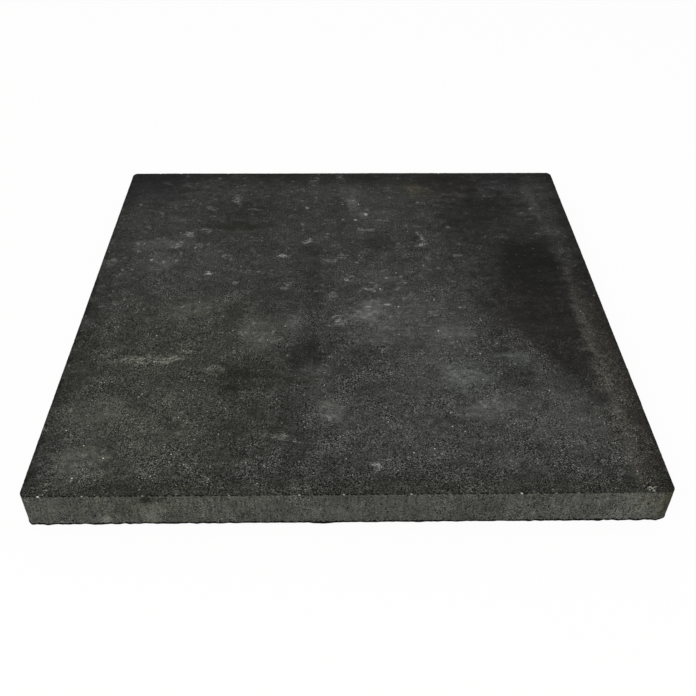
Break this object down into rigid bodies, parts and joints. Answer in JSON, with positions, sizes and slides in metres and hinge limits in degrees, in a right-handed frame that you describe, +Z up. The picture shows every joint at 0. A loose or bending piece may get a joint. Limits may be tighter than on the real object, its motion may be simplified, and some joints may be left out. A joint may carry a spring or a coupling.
{
  "type": "concrete paving slab",
  "caption": "Flat square slab of dark grey pressed concrete with softly rounded upright corners, laid on a bed beside like slabs to pave a path, patio or roof terrace.",
  "frame": {"origin": "middle of the bedding face, on the ground", "axes": "+Z up, out of the wearing face; X and Y square to the four sides, with the side nearest the viewer facing -Y"},
  "size_m": [0.6, 0.6, 0.04],
  "materials": {
    "concrete": "matte"
  },
  "bodies": {
    "root": {"slab": "concrete"}
  },
  "joints": []
}
